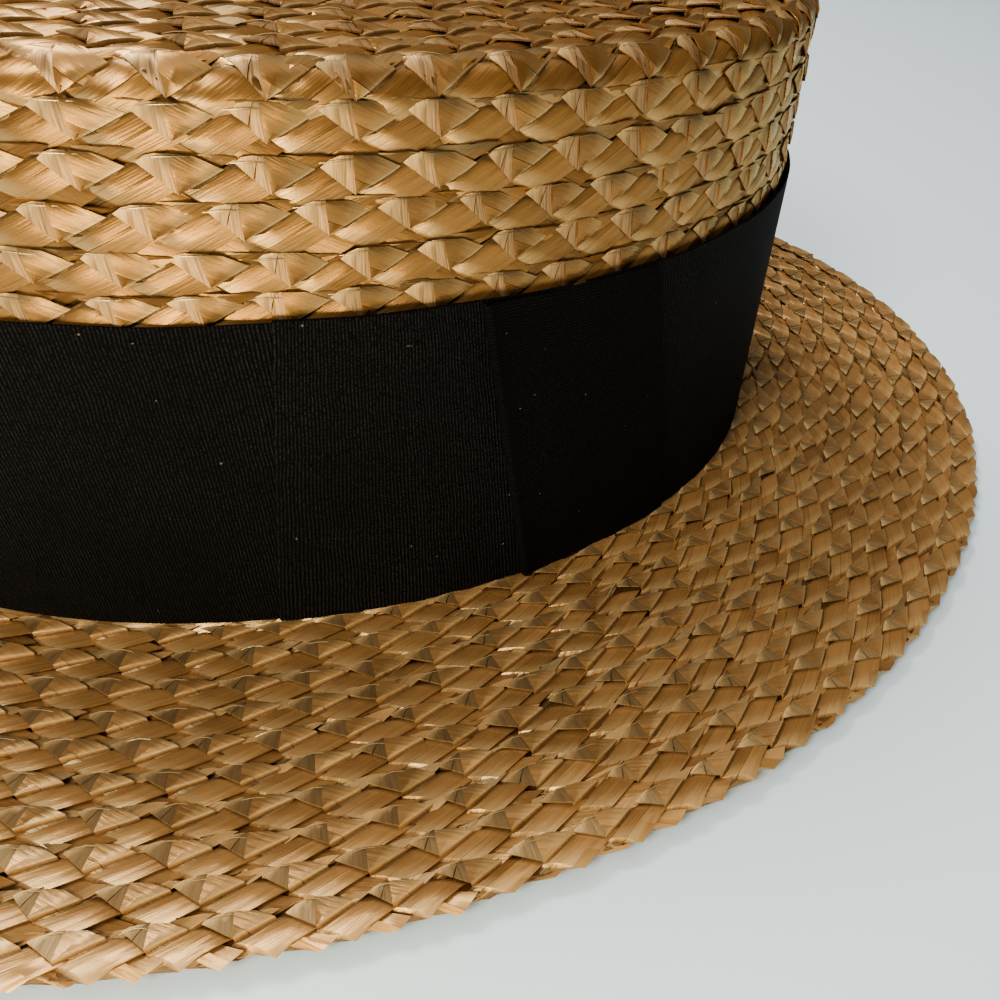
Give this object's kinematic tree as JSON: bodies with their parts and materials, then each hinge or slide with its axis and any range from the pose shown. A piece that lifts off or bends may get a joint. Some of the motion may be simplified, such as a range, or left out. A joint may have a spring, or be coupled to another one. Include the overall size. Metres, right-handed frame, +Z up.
{
  "type": "straw boater hat",
  "caption": "Oval straw boater with a flat crown, a flat stiff brim and a wide ribbon band with a flat side bow.",
  "frame": {"origin": "centre of the oval at the level that the brim rests on", "axes": "+Z up through the crown, X along the head's length with +X towards the back of the head, -Y towards the wearer's left, which carries the bow"},
  "size_m": [0.328, 0.28, 0.0984],
  "materials": {
    "straw": "golden brown varnished straw plait, satin with glossy highlights",
    "ribbon": "black ribbed grosgrain, matt"
  },
  "bodies": {
    "root": {"crown_tip": "straw", "crown_side": "straw", "brim": "straw", "brim_edge": "straw", "hat_band": "ribbon", "bow_front_loop": "ribbon", "bow_back_loop": "ribbon", "bow_knot": "ribbon"}
  },
  "joints": []
}
